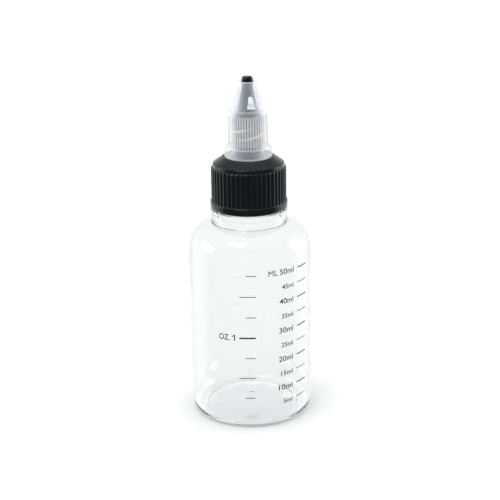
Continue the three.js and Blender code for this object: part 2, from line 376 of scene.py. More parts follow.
# %% Helpers for whole trees
def new_shape_tree(name, counts, sizes):
    """A Geometry Nodes tree on a geometry, with named counts, sizes and a material as inputs."""
    tree = bpy.data.node_groups.new(name, "GeometryNodeTree")
    inputs = [("Geometry", "NodeSocketGeometry"), ("Material", "NodeSocketMaterial")]
    inputs += [(label, "NodeSocketInt") for label in counts]
    inputs += [(label, "NodeSocketFloat") for label in sizes]
    for label, kind in inputs:
        tree.interface.new_socket(label, in_out="INPUT", socket_type=kind)
    tree.interface.new_socket("Geometry", in_out="OUTPUT", socket_type="NodeSocketGeometry")
    return tree, tree.nodes.new("NodeGroupInput"), tree.nodes.new("NodeGroupOutput")


def plain_mesh(thing):
    """A plain mesh of what an object's modifiers or letters make."""
    graph = bpy.context.evaluated_depsgraph_get()
    return bpy.data.meshes.new_from_object(thing.evaluated_get(graph))


def made_plain(piece, modifier):
    """Keep what a modifier makes as the piece's own mesh, and take the modifier off."""
    spare = piece.data
    made = plain_mesh(piece)
    piece.modifiers.remove(modifier)
    piece.data = made
    bpy.data.meshes.remove(spare)
    made.name = piece.name
    return piece


def apply_tree(piece, tree, values, material):
    """Run a tree on a piece and keep the result as its plain mesh."""
    modifier = piece.modifiers.new(tree.name, "NODES")
    modifier.node_group = tree
    values = {**values, "Material": material}
    for item in tree.interface.items_tree:
        if item.in_out == "INPUT" and item.name in values:
            modifier[item.identifier] = values[item.name]
    return made_plain(piece, modifier)


def ends_of_tree(tree, geometry, material, output):
    """Every tree ends the same way: real geometry, with its material on it."""
    real = add_node(tree, "GeometryNodeRealizeInstances", Geometry=geometry).outputs["Geometry"]
    painted = add_node(tree, "GeometryNodeSetMaterial", Geometry=real, Material=material)
    feed(tree, painted.outputs["Geometry"], output.inputs["Geometry"])


# %% [markdown]
# Grip ribs are cut in the mould as upright grooves, all round. Separate bars would leave cut
# edges inside the plastic, which show in a clear piece. So this tree pushes the skin itself out,
# in a pattern that repeats round the middle, and one tree serves the skirt and the spout.

# %% Tree for grip ribs
RIB_SIZES = ["Rib Height", "Rib Share", "Bottom", "Top", "Bottom Fade", "Top Fade", "Inside Radius"]
CROWN_POWER = 3


def polar_place(tree):
    """The radius, height and turn (-0.5 to 0.5) of each point, and its outward direction."""
    x, y, z = parts_of(tree, tree.nodes.new("GeometryNodeInputPosition").outputs[0])
    flat = vector_of(tree, X=x, Y=y)
    length = add_node(tree, "ShaderNodeVectorMath", {"operation": "LENGTH"}, Vector=flat)
    outward = add_node(tree, "ShaderNodeVectorMath", {"operation": "NORMALIZE"}, Vector=flat)
    turn = sum_of(tree, "DIVIDE", sum_of(tree, "ARCTAN2", y, x), 2 * math.pi)
    return length.outputs["Value"], z, turn, outward.outputs["Vector"]


def keep_mask(tree, geometry, name, value, selection):
    """Keep a 0 to 1 mask on the chosen points, under a name that a material can read."""
    node = add_node(tree, "GeometryNodeStoreNamedAttribute", {"data_type": "FLOAT"}, Name=name)
    feed_all(tree, node, Geometry=geometry, Selection=selection, Value=value)
    return node.outputs["Geometry"]


def push_out(tree, geometry, selection, outward, amount):
    """Move the chosen points along their outward direction."""
    step = add_node(tree, "ShaderNodeVectorMath", {"operation": "SCALE"}, Vector=outward, Scale=amount)
    move = add_node(tree, "GeometryNodeSetPosition", Geometry=geometry, Selection=selection)
    feed_all(tree, move, Offset=step.outputs["Vector"])
    return move.outputs["Geometry"]


def rib_tree():
    tree, source, output = new_shape_tree("grip ribs", ["Ribs"], RIB_SIZES)
    given = source.outputs
    radius, height, turn, outward = polar_place(tree)
    along = sum_of(tree, "FRACT", sum_of(tree, "MULTIPLY", turn, given["Ribs"]))
    off_centre = sum_of(tree, "ABSOLUTE", sum_of(tree, "SUBTRACT", along, 0.5))
    foot = sum_of(tree, "MULTIPLY", given["Rib Share"], 0.5)
    across = sum_of(tree, "DIVIDE", off_centre, foot)
    crown = sum_of(tree, "SUBTRACT", 1, sum_of(tree, "POWER", across, CROWN_POWER), clamp=True)
    rise = sum_of(tree, "SUBTRACT", height, given["Bottom"])
    fall = sum_of(tree, "SUBTRACT", given["Top"], height)
    start = sum_of(tree, "DIVIDE", rise, given["Bottom Fade"], clamp=True)
    finish = sum_of(tree, "DIVIDE", fall, given["Top Fade"], clamp=True)
    ends = sum_of(tree, "SQRT", sum_of(tree, "MINIMUM", start, finish))
    rib = sum_of(tree, "MULTIPLY", crown, ends)
    amount = sum_of(tree, "MULTIPLY", rib, given["Rib Height"])
    chosen = sum_of(tree, "GREATER_THAN", radius, given["Inside Radius"])
    masked = keep_mask(tree, given["Geometry"], "rib crest", rib, chosen)
    ribbed = push_out(tree, masked, chosen, outward, amount)
    ends_of_tree(tree, ribbed, given["Material"], output)
    return tree


grip_ribs = rib_tree()
print("tree:", grip_ribs.name, "with", len(grip_ribs.nodes), "nodes")

# %% [markdown]
# A screw thread is a ridge that climbs by its pitch at each turn. The tree below works out, for
# each point of a round wall, how far it lies from the middle line of the nearest turn, and pushes
# it out if it is close. A ridge height below zero makes an inside thread. The same tree makes the
# neck's thread, the turret's two-start thread, and the ridges inside the closure and the spout.

# %% Tree for threads
THREAD_SIZES = ["Wall Radius", "Ridge Height", "Ridge Width", "Pitch", "Turns"]
THREAD_SIZES += ["First Height", "First Turn"]
WALL_TOLERANCE = 0.02 * MM
FLANK_SLOPE = 1.7
RUN_OUT = 6


def thread_tree():
    tree, source, output = new_shape_tree("thread ridge", ["Starts"], THREAD_SIZES)
    given = source.outputs
    radius, height, turn, outward = polar_place(tree)
    own_turn = sum_of(tree, "SUBTRACT", turn, given["First Turn"])
    above = sum_of(tree, "SUBTRACT", height, given["First Height"])
    climbed = sum_of(tree, "SUBTRACT", sum_of(tree, "DIVIDE", above, given["Pitch"]), own_turn)
    nearest = sum_of(tree, "ROUND", sum_of(tree, "MULTIPLY", climbed, given["Starts"]))
    whole = sum_of(tree, "DIVIDE", nearest, given["Starts"])
    along = sum_of(tree, "ADD", own_turn, whole)
    middle = sum_of(tree, "MULTIPLY", along, given["Pitch"])
    away = sum_of(tree, "ABSOLUTE", sum_of(tree, "SUBTRACT", above, middle))
    share = sum_of(tree, "DIVIDE", away, sum_of(tree, "MULTIPLY", given["Ridge Width"], 0.5))
    crest = sum_of(tree, "MULTIPLY", sum_of(tree, "SUBTRACT", 1, share), FLANK_SLOPE, clamp=True)
    left = sum_of(tree, "SUBTRACT", given["Turns"], along)
    run_out = sum_of(tree, "MULTIPLY", sum_of(tree, "MINIMUM", along, left), RUN_OUT, clamp=True)
    ridge = sum_of(tree, "MULTIPLY", crest, run_out)
    amount = sum_of(tree, "MULTIPLY", ridge, given["Ridge Height"])
    chosen = sum_of(tree, "COMPARE", radius, given["Wall Radius"], WALL_TOLERANCE)
    masked = keep_mask(tree, given["Geometry"], "thread crest", ridge, chosen)
    threaded = push_out(tree, masked, chosen, outward, amount)
    ends_of_tree(tree, threaded, given["Material"], output)
    return tree


thread_ridge = thread_tree()
print("tree:", thread_ridge.name, "with", len(thread_ridge.nodes), "nodes")

# %% [markdown]
# The plastics share two shader groups. One is the fine skin that a mould leaves, with the long
# soft waves of blown or cooled plastic. The other is the sparse dust and the hair scratches of a
# pack that has been handled. Each gives only masks and heights that change over the surface.

# %% Shader group for the skin of a moulding
def new_effect(name, inputs, outputs):
    """A shader node group with named number inputs and outputs."""
    tree = bpy.data.node_groups.new(name, "ShaderNodeTree")
    for label, value in inputs:
        socket = tree.interface.new_socket(label, in_out="INPUT", socket_type="NodeSocketFloat")
        socket.default_value = value
    for label in outputs:
        tree.interface.new_socket(label, in_out="OUTPUT", socket_type="NodeSocketFloat")
    return tree, tree.nodes.new("NodeGroupInput"), tree.nodes.new("NodeGroupOutput")


def noise(tree, place, scale, detail=2.0):
    """Soft cloudy noise, from 0 to 1."""
    settings = {"Vector": place, "Scale": scale, "Detail": detail}
    return add_node(tree, "ShaderNodeTexNoise", **settings).outputs["Fac"]


def mould_skin():
    """Fine grain from the mould face, and slow waves in the plastic under it."""
    inputs = [("Grain Size", 4000.0), ("Wave Size", 120.0), ("Wave Share", 0.5)]
    tree, source, output = new_effect("mould skin", inputs, ["Height", "Sheen"])
    place = tree.nodes.new("ShaderNodeTexCoord").outputs["Object"]
    grain = noise(tree, place, source.outputs["Grain Size"])
    wave = noise(tree, place, source.outputs["Wave Size"], detail=1.0)
    waves = sum_of(tree, "MULTIPLY", wave, source.outputs["Wave Share"])
    feed(tree, sum_of(tree, "ADD", grain, waves), output.inputs["Height"])
    feed(tree, sum_of(tree, "MULTIPLY", grain, wave), output.inputs["Sheen"])
    return tree


skin_effect = mould_skin()
print("shader group:", skin_effect.name)

# %% Shader group for dust and scratches
PATCH_SIZE = 90.0
PATCH_CONTRAST = 6
SPECK_CONTRAST = 12
HAIRLINE_SIZE = (1400.0, 1400.0, 60.0)
HAIRLINE_START = 0.68
HAIRLINE_CONTRAST = 10


def handling_dust():
    """Sparse pale specks, and fine upright hairlines, as masks from 0 to 1."""
    inputs = [("Speck Size", 1500.0), ("Speck Share", 0.16)]
    tree, source, output = new_effect("handling dust", inputs, ["Specks", "Hairlines"])
    place = tree.nodes.new("ShaderNodeTexCoord").outputs["Object"]
    cells = add_node(tree, "ShaderNodeTexVoronoi", Scale=source.outputs["Speck Size"], Vector=place)
    cloud = noise(tree, place, PATCH_SIZE)
    near = sum_of(tree, "SUBTRACT", source.outputs["Speck Share"], cells.outputs["Distance"])
    specks = sum_of(tree, "MULTIPLY", near, SPECK_CONTRAST, clamp=True)
    patch = sum_of(tree, "MULTIPLY", sum_of(tree, "SUBTRACT", cloud, 0.5), PATCH_CONTRAST, clamp=True)
    feed(tree, sum_of(tree, "MULTIPLY", specks, patch), output.inputs["Specks"])
    stretch = add_node(tree, "ShaderNodeMapping", Vector=place, Scale=HAIRLINE_SIZE)
    lines = sum_of(tree, "SUBTRACT", noise(tree, stretch.outputs[0], 1.0, detail=1.0), HAIRLINE_START)
    thin = sum_of(tree, "MULTIPLY", lines, HAIRLINE_CONTRAST, clamp=True)
    feed(tree, thin, output.inputs["Hairlines"])
    return tree


dust_effect = handling_dust()
print("shader group:", dust_effect.name)

# %% Material helpers
def new_material(name):
    """A material with a Principled shader, and its tree."""
    material = bpy.data.materials.new(name)
    material.use_nodes = True
    tree = material.node_tree
    shader = tree.nodes["Principled BSDF"]
    return material, tree, shader


def add_effect(tree, effect, **values):
    """Place a shader group in a material, with the material's own values."""
    return add_node(tree, "ShaderNodeGroup", {"node_tree": effect}, **values).outputs


def add_bump(tree, shader, height, depth):
    """Turn a height mask into a slight unevenness of the given depth."""
    bump = add_node(tree, "ShaderNodeBump", Distance=depth, Height=height)
    feed(tree, bump.outputs["Normal"], shader.inputs["Normal"])


def add_range(tree, value, low, high, **stretch):
    """Stretch a mask, from 0 to 1 unless more is said, between two numbers."""
    node = add_node(tree, "ShaderNodeMapRange", Value=value, To_Min=low, To_Max=high, **stretch)
    return node.outputs["Result"]


def blend_colours(tree, mask, first, second):
    """The first colour where the mask is 0, and the second where it is 1."""
    node = add_node(tree, "ShaderNodeMix", {"data_type": "RGBA"}, Factor=mask)
    feed(tree, first, node.inputs[6])
    feed(tree, second, node.inputs[7])
    return node.outputs[2]


def show_instead(tree, share, first, second, output):
    """Show the second shader in place of the first by a share, at the tree's own output."""
    mix = tree.nodes.new("ShaderNodeMixShader")
    mixed = feed_in_order(tree, mix, share, first.outputs[0], second.outputs[0])
    feed(tree, mixed, tree.nodes[output].inputs["Surface"])


def let_shadow_through(tree, shader, tint):
    """Clear plastic casts a light shadow: the light that shades other things passes, dimmed."""
    path = tree.nodes.new("ShaderNodeLightPath").outputs
    clear = add_node(tree, "ShaderNodeBsdfTransparent", Color=tint)
    shading = sum_of(tree, "MAXIMUM", path["Is Shadow Ray"], path["Is Diffuse Ray"])
    show_instead(tree, shading, shader, clear, "Material Output")


# %% [markdown]
# The bottle is blown from a clear polyester. It bends light like thin glass, with very slight
# waves where the bubble met the mould. An index a little below the plastic's own keeps the dark
# lines at its edges as thin as they are on the real wall, and a thin coat gives back the gloss.
# Rays that carry shade pass straight through, dimmed, because bent ones draw a noisy shadow.

# %% Clear bottle plastic
CLEAR_TONE = (0.979, 0.982, 0.985, 1)
CLEAR_SHADE = (0.67, 0.68, 0.69, 1)
CLEAR_WAVE_DEPTH = 0.0015 * MM


def clear_plastic():
    material, tree, shader = new_material("clear bottle plastic")
    feed_all(tree, shader, Base_Color=CLEAR_TONE, IOR=1.4, Transmission_Weight=1.0)
    feed_all(tree, shader, Coat_Weight=0.7, Coat_Roughness=0.04)
    skin = add_effect(tree, skin_effect, Grain_Size=900.0, Wave_Size=60.0, Wave_Share=6.0)
    dust = add_effect(tree, dust_effect, Speck_Size=900.0, Speck_Share=0.1)
    rough = add_range(tree, skin["Sheen"], 0.0, 0.05)
    marked = sum_of(tree, "MAXIMUM", rough, sum_of(tree, "MULTIPLY", dust["Specks"], 0.3))
    feed(tree, marked, shader.inputs["Roughness"])
    add_bump(tree, shader, skin["Height"], CLEAR_WAVE_DEPTH)
    let_shadow_through(tree, shader, CLEAR_SHADE)
    return material


# %% [markdown]
# The closure is glossy black polypropylene. Its gloss varies a little over the skin, hairline
# scratches dull it, and pale dust settles in small specks. The pigment hides what lies below.

# %% Black closure plastic
BLACK_TONES = ((0.005, 0.0066, 0.0072, 1), (0.010, 0.0125, 0.0135, 1))
DUST_TONE = (0.12, 0.12, 0.12, 1)
BLACK_GRAIN_DEPTH = 0.006 * MM


def black_plastic():
    material, tree, shader = new_material("black closure plastic")
    skin = add_effect(tree, skin_effect, Grain_Size=2600.0, Wave_Size=220.0, Wave_Share=0.8)
    dust = add_effect(tree, dust_effect, Speck_Size=1700.0, Speck_Share=0.14)
    tone = blend_colours(tree, skin["Sheen"], *BLACK_TONES)
    dusty = blend_colours(tree, dust["Specks"], tone, DUST_TONE)
    rough = add_range(tree, skin["Sheen"], 0.07, 0.2)
    worn = sum_of(tree, "ADD", rough, sum_of(tree, "MULTIPLY", dust["Hairlines"], 0.15))
    feed_all(tree, shader, Base_Color=dusty, Roughness=worn, IOR=1.5)
    add_bump(tree, shader, skin["Height"], BLACK_GRAIN_DEPTH)
    return material


# %% [markdown]
# The spout is a soft natural plastic with a fine haze in it. The haze is pale and a little blue,
# and it is denser where there is more plastic in the way: on the crests of the ribs, on the
# ridges inside, and where the wall is seen along its length. So this material is a pale shader
# whose alpha is the haze. Dark things show through it blue-grey and white things stay white.

# %% Frosted spout plastic
HAZE = 0.12
HAZE_ALONG_WALL = 0.62
HAZE_OF_RIB = 0.28
HAZE_OF_RIDGE = 0.55
HAZE_OF_SPECK = 0.2
THIN_TONES = ((0.79, 0.88, 0.98, 1), (0.85, 0.91, 0.98, 1))
THICK_TONE = (0.83, 0.83, 0.82, 1)
FROSTED_GRAIN_DEPTH = 0.008 * MM


def own_mask(tree, name):
    """A mask that a geometry tree kept on the piece."""
    return add_node(tree, "ShaderNodeAttribute", {"attribute_name": name}).outputs["Fac"]


def frosted_plastic():
    material, tree, shader = new_material("frosted spout plastic")
    skin = add_effect(tree, skin_effect, Grain_Size=1800.0, Wave_Size=160.0, Wave_Share=1.5)
    dust = add_effect(tree, dust_effect, Speck_Size=1300.0, Speck_Share=0.12)
    rib = own_mask(tree, "rib crest")
    ridge = own_mask(tree, "thread crest")
    facing = add_node(tree, "ShaderNodeLayerWeight", Blend=0.5).outputs["Facing"]
    thick = sum_of(tree, "ADD", sum_of(tree, "MAXIMUM", rib, ridge), facing, clamp=True)
    thin_tone = blend_colours(tree, skin["Sheen"], *THIN_TONES)
    tone = blend_colours(tree, thick, thin_tone, THICK_TONE)
    haze = HAZE
    masks = [(facing, HAZE_ALONG_WALL), (rib, HAZE_OF_RIB), (ridge, HAZE_OF_RIDGE)]
    for mask, share in [*masks, (dust["Specks"], HAZE_OF_SPECK)]:
        haze = sum_of(tree, "MULTIPLY_ADD", mask, share, haze)
    rough = add_range(tree, skin["Sheen"], 0.1, 0.3)
    worn = sum_of(tree, "ADD", rough, sum_of(tree, "MULTIPLY", dust["Hairlines"], 0.1))
    alpha = sum_of(tree, "MINIMUM", haze, 1.0)
    feed_all(tree, shader, Base_Color=tone, Roughness=worn, Alpha=alpha)
    add_bump(tree, shader, skin["Height"], FROSTED_GRAIN_DEPTH)
    return material


# %% [markdown]
# The scale is screen printed with a thin dark brown-grey ink. Seen close, the film is uneven and
# a little light comes through it.

# %% Printing ink
INK_TONES = ((0.030, 0.024, 0.022, 1), (0.085, 0.070, 0.064, 1))


def printing_ink():
    material, tree, shader = new_material("scale printing ink")
    skin = add_effect(tree, skin_effect, Grain_Size=5200.0, Wave_Size=700.0, Wave_Share=1.0)
    sheen = skin["Sheen"]
    tone = blend_colours(tree, sheen, *INK_TONES)
    rough = add_range(tree, sheen, 0.35, 0.6)
    feed_all(tree, shader, Base_Color=tone, Roughness=rough, Alpha=add_range(tree, sheen, 1.0, 0.75))
    return material


clear_bottle = clear_plastic()
black_closure = black_plastic()
frosted_spout = frosted_plastic()
scale_ink = printing_ink()
print("materials:", [m.name for m in (clear_bottle, black_closure, frosted_spout, scale_ink)])

# %% [markdown]
# The bottle is one blown moulding with a thin wall. Its section runs up the outside, over the
# mouth and down the inside, so that spinning it gives a true double wall for light to bend in.
# The base is pushed up so that it stands on a narrow ring, and has the small rings that the
# mould's base insert leaves round its centre.

# %% Bottle section
FINISH_STEP = 0.2
BASE_RINGS = (3.7, 6.9)
BASE_RING_HEIGHT = 0.012
BASE_RING_WIDTH = 0.35
RINGED_STEP = 0.15
RINGED_RADIUS = 8.2
PLAIN_STEPS = 14
SHELF_WALL = 0.5
standing_inner = BODY_RADIUS - HEEL_RADIUS - STANDING_RING_WIDTH


def dome_height(r):
    """The height of the pushed-up base at a radius."""
    height = PUSH_UP_HEIGHT * (1 - (r / standing_inner) ** PUSH_UP_CURVE)
    height += GATE_HEIGHT * math.exp(-((r / GATE_RADIUS) ** 4))
    for ring in BASE_RINGS:
        height += BASE_RING_HEIGHT * math.exp(-(((r - ring) / BASE_RING_WIDTH) ** 2))
    return height


def dome_points():
    """The dome from its middle outwards, close together where its small rings are."""
    ringed = [RINGED_STEP * k for k in range(math.ceil(RINGED_RADIUS / RINGED_STEP))]
    width = standing_inner - RINGED_RADIUS
    plain = [RINGED_RADIUS + width * k / PLAIN_STEPS for k in range(PLAIN_STEPS)]
    return [(r, dome_height(r)) for r in ringed + plain]


def bottle_outside():
    heel = arc(BODY_RADIUS - HEEL_RADIUS, HEEL_RADIUS, HEEL_RADIUS, -90, 0)
    shoulder = shoulder_and_fillet(
        shoulder_centre, STRAIGHT_WALL_TOP, SHOULDER_RADIUS, NECK_RADIUS, NECK_FILLET
    )
    ring = rounded([
        (NECK_RADIUS, ring_bottom - RING_EDGE),
        (NECK_RADIUS, ring_bottom, 0.2),
        (RING_RADIUS, ring_bottom, RING_EDGE),
        (RING_RADIUS, ring_top, RING_EDGE),
        (FINISH_ROOT_RADIUS, ring_top),
    ])
    top = finish_top - MOUTH_EDGE
    wall = divided((FINISH_ROOT_RADIUS, ring_top), (FINISH_ROOT_RADIUS, top), FINISH_STEP)
    dome = dome_points()
    foot = rounded([dome[-1], (standing_inner, 0, 0.5), heel[0]])[1:-1]
    return dome + foot + heel + shoulder + ring + wall


def bottle_inside():
    inner_neck = NECK_RADIUS - NECK_WALL
    inner_heel = HEEL_RADIUS - BODY_WALL
    floor = [(r, z + BASE_WALL) for r, z in dome_points()]
    heel = arc(BODY_RADIUS - HEEL_RADIUS, inner_heel + BASE_WALL, inner_heel, -90, 0)
    shoulder = shoulder_and_fillet(
        shoulder_centre, STRAIGHT_WALL_TOP, SHOULDER_RADIUS - BODY_WALL, inner_neck, NECK_FILLET
    )
    throat = rounded([
        (inner_neck, ring_bottom - NECK_FILLET),
        (inner_neck, ring_top - SHELF_WALL, 0.3),
        (MOUTH_RADIUS, ring_top - SHELF_WALL * 0.7, 0.2),
        (MOUTH_RADIUS, finish_top, MOUTH_EDGE),
    ])
    return floor + heel + shoulder + throat


# %% Bottle with its neck thread
BOTTLE_SIDES = 256
THREAD_STARTS_AT = 200
THREAD_BELOW_MOUTH = 1.8
NECK_THREAD = {
    "Wall Radius": FINISH_ROOT_RADIUS * MM,
    "Ridge Height": NECK_THREAD_HEIGHT * MM,
    "Ridge Width": 2.1 * MM,
    "Pitch": NECK_PITCH * MM,
    "Starts": 1,
    "Turns": NECK_TURNS,
    "First Height": (finish_top - THREAD_BELOW_MOUTH - NECK_TURNS * NECK_PITCH) * MM,
    "First Turn": THREAD_STARTS_AT / 360 - NECK_TURNS,
}

lip = rounded([
    (FINISH_ROOT_RADIUS, finish_top - MOUTH_EDGE),
    (FINISH_ROOT_RADIUS, finish_top, MOUTH_EDGE),
    (MOUTH_RADIUS + MOUTH_EDGE, finish_top),
])
bottle = turned("bottle_wall", bottle_outside() + lip[1:] + bottle_inside()[::-1], BOTTLE_SIDES)
apply_tree(bottle, thread_ridge, NECK_THREAD, clear_bottle)
finished(bottle, clear_bottle)
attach(bottle, "bottle_body")
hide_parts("bottle")

# %% [markdown]
# The closure's skirt, roof and cone are one turned shape with upright ribs. Inside it are
# the plug ring that seals in the bottle's mouth and the ridge that grips the neck's thread.

# %% Closure section
RIB_COLUMNS = 8
RIB_ROW = 0.3
JUST_PAST = 0.01


def closure_shell_section():
    outside = rounded([
        (skirt_bore, closure_bottom, 0.2),
        (rim_radius, closure_bottom, RIM_EDGE),
        (rim_radius, rim_top - RIM_PROUD, 0.25),
        (groove_radius, rim_top),
    ])
    skirt = divided((groove_radius, rim_top), (groove_radius, skirt_top), RIB_ROW)
    cone = rounded([
        (groove_radius, skirt_top),
        (band_radius, skirt_top + BAND_STEP / 2, 0.1),
        (band_radius, band_top, 0.22),
        (seat_radius, cone_top, 0.15),
        (seat_radius, seat_floor, 0.1),
        (TURRET_BORE, seat_floor),
        (TURRET_BORE, seat_floor - TOP_WALL),
    ])
    plug_inner = plug_radius - PLUG_WALL
    plug_tip = roof_height - PLUG_DEPTH
    inside = rounded([
        (plug_inner, seat_floor - TOP_WALL),
        (plug_inner, plug_tip, 0.2),
        (plug_radius, plug_tip, 0.35),
        (plug_radius, roof_height),
        (skirt_bore - ROOF_CHAMFER, roof_height),
    ])
    bore_top = (skirt_bore, roof_height - ROOF_CHAMFER)
    bore = divided(bore_top, (skirt_bore, closure_bottom + RIB_ROW), RIB_ROW)
    return outside + skirt[1:] + cone[1:] + inside + bore


# %% Ribs and thread of the closure
SKIRT_GRIP = {
    "Ribs": SKIRT_RIBS,
    "Rib Height": SKIRT_RIB_HEIGHT * MM,
    "Rib Share": 0.72,
    "Bottom": (rim_top - JUST_PAST) * MM,
    "Top": skirt_top * MM,
    "Bottom Fade": 0.005 * MM,
    "Top Fade": 0.6 * MM,
    "Inside Radius": (groove_radius - 0.05) * MM,
}
CLOSURE_THREAD = {
    "Wall Radius": skirt_bore * MM,
    "Ridge Height": -0.2 * MM,
    "Ridge Width": 0.9 * MM,
    "Pitch": NECK_PITCH * MM,
    "Starts": 1,
    "Turns": 1.4,
    "First Height": (closure_bottom + 2.5) * MM,
    "First Turn": 0.2,
}
shell = turned("closure_shell", closure_shell_section(), SKIRT_RIBS * RIB_COLUMNS, ring=True)
apply_tree(shell, grip_ribs, SKIRT_GRIP, black_closure)
apply_tree(shell, thread_ridge, CLOSURE_THREAD, black_closure)
finished(shell, black_closure)
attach(shell, "closure_body")
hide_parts("closure")

# %% [markdown]
# The turret grows out of the closure's roof. It carries a two-start thread and a seal bead, and
# ends in a hollow post, from which the pin stands up. The post's opening is cut straight back, a
# little to the right of the middle, so that light from behind shows through it.

# %% Turret section
TURRET_SIDES = 128
TURRET_ROW = 0.15


def turret_section():
    bead = SEAL_BEAD_WIDTH
    sunk = seat_floor - TOP_WALL / 2
    thread_wall = divided((TURRET_RADIUS, sunk), (TURRET_RADIUS, turret_top - 2 * bead), TURRET_ROW)
    outside = rounded([
        (TURRET_RADIUS, turret_top - 2 * bead),
        (seal_bead_radius, turret_top - 1.75 * bead, 0.2),
        (seal_bead_radius, turret_top - 1.25 * bead, 0.2),
        (TURRET_RADIUS, turret_top - bead, 0.1),
        (TURRET_RADIUS, turret_top, 0.25),
        (POST_RADIUS, post_base, 0.4),
        (PIN_RADIUS, post_top, 0.5),
        (PIN_RADIUS, pin_top, PIN_EDGE),
        (0, pin_top),
    ])
    inner_post = POST_RADIUS - POST_WALL
    inside = rounded([
        (0, post_top - POST_WALL),
        (PIN_RADIUS - POST_WALL, post_top - POST_WALL, 0.2),
        (inner_post, post_base, 0.3),
        (TURRET_BORE, turret_top, 0.2),
        (TURRET_BORE, sunk),
    ])
    return [(TURRET_BORE, sunk)] + thread_wall + outside[1:], inside


# %% Opening in the post
WINDOW_BOTTOM_WIDTH = 2.8
WINDOW_TOP_WIDTH = 1
WINDOW_HEIGHT = 3.5
WINDOW_SILL = 0.7
WINDOW_SIDE = (1.05, 0.78)
WINDOW_FALL = 0.38


def window_cutter():
    """A long block, narrower at its top, that opens the post; its floor falls to the back."""
    sill = post_base + WINDOW_SILL
    head = sill + WINDOW_HEIGHT
    low = WINDOW_BOTTOM_WIDTH / 2
    high = WINDOW_TOP_WIDTH / 2
    spots = []
    for y in (-2 * POST_RADIUS, 2 * POST_RADIUS):
        floor = sill - WINDOW_FALL * (y + POST_RADIUS)
        for side, half, z in zip(WINDOW_SIDE, (low, -high), (floor, head)):
            spots += [(side - half, y, z), (side + half, y, z)]
    faces = [(0, 1, 2, 3), (7, 6, 5, 4), (0, 4, 5, 1), (1, 5, 6, 2), (2, 6, 7, 3), (3, 7, 4, 0)]
    mesh = bpy.data.meshes.new("window_cutter")
    mesh.from_pydata([Vector(s) * MM for s in spots], [], faces)
    return put_in_scene("window_cutter", mesh)


def cut_away(piece, cutter):
    """Cut one piece with another and keep the result as a plain mesh."""
    modifier = piece.modifiers.new("opening", "BOOLEAN")
    modifier.object = cutter
    modifier.solver = "MANIFOLD"
    made_plain(piece, modifier)
    bpy.data.objects.remove(cutter)


# %% Turret with its thread and opening
TURRET_THREAD = {
    "Wall Radius": TURRET_RADIUS * MM,
    "Ridge Height": TURRET_THREAD_HEIGHT * MM,
    "Ridge Width": 1.0 * MM,
    "Pitch": TURRET_PITCH * MM,
    "Starts": 2,
    "Turns": 0.9,
    "First Height": (seat_floor + 2.6) * MM,
    "First Turn": -0.9,
}
turret_up, turret_down = turret_section()
turret = turned("closure_turret", turret_up + turret_down, TURRET_SIDES, ring=True)
apply_tree(turret, thread_ridge, TURRET_THREAD, black_closure)
cut_away(turret, window_cutter())
finished(turret, black_closure)
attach(turret, "closure_body")
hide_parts("closure")

# %% [markdown]
# The spout is one frosted moulding: a flange that fits the closure's seat, a ribbed grip, a
# step, and a nozzle whose end closes on the pin. Fine ridges inside it ride on the turret's
# thread, and show through the wall as pale slanted lines.

# %% Spout section
SPOUT_COLUMNS = 8
SPOUT_ROW = 0.25
GRIP_SHARE = 0.62
BORE_EDGE = 0.2


def spout_section():
    groove_bottom = GRIP_BOTTOM_RADIUS - SPOUT_RIB_HEIGHT
    groove_top = GRIP_TOP_RADIUS - SPOUT_RIB_HEIGHT
    flange = rounded([
        (spout_bore, spout_bottom, BORE_EDGE),
        (FLANGE_RADIUS, spout_bottom, 0.25),
        (FLANGE_RADIUS, flange_top, 0.5),
        (FLANGE_RADIUS - FLANGE_EDGE / 3, grip_bottom - FLANGE_EDGE / 3, 0.3),
        (groove_bottom, grip_bottom, 0.3),
        (groove_top, grip_top - GRIP_BAND),
    ])[:-1]
    grip = divided(flange[-1], (groove_top, grip_top - GRIP_BAND), SPOUT_ROW)
    nozzle_edge = arc(NOZZLE_TOP_RADIUS - NOZZLE_EDGE, spout_top - NOZZLE_EDGE, NOZZLE_EDGE, 0, 90)
    top = rounded([
        (GRIP_TOP_RADIUS, grip_top - GRIP_BAND, 0.1),
        (GRIP_TOP_RADIUS, grip_top, 0.25),
        (GRIP_TOP_RADIUS - STEP_INSET / 3, grip_top + STEP_HEIGHT / 2, 0.3),
        (nozzle_bottom_radius + STEP_INSET / 6, grip_top + STEP_HEIGHT * 0.7, 0.25),
        (nozzle_bottom_radius, nozzle_bottom, 0.3),
        nozzle_edge[0],
    ])[:-1]
    nozzle_bore = nozzle_bottom_radius - SPOUT_WALL
    inside = rounded([
        (orifice_radius, spout_top, 0.2),
        (orifice_radius, spout_top - ORIFICE_LAND, 0.15),
        (NOZZLE_TOP_RADIUS - SPOUT_WALL, spout_top - ORIFICE_LAND - SPOUT_WALL, 0.3),
        (nozzle_bore, nozzle_bottom, 0.4),
        (spout_bore, grip_top - SPOUT_WALL / 2),
    ])
    bore = divided(inside[-1], (spout_bore, spout_bottom + BORE_EDGE), SPOUT_ROW)
    return flange + grip[1:] + top + nozzle_edge + inside + bore[1:]


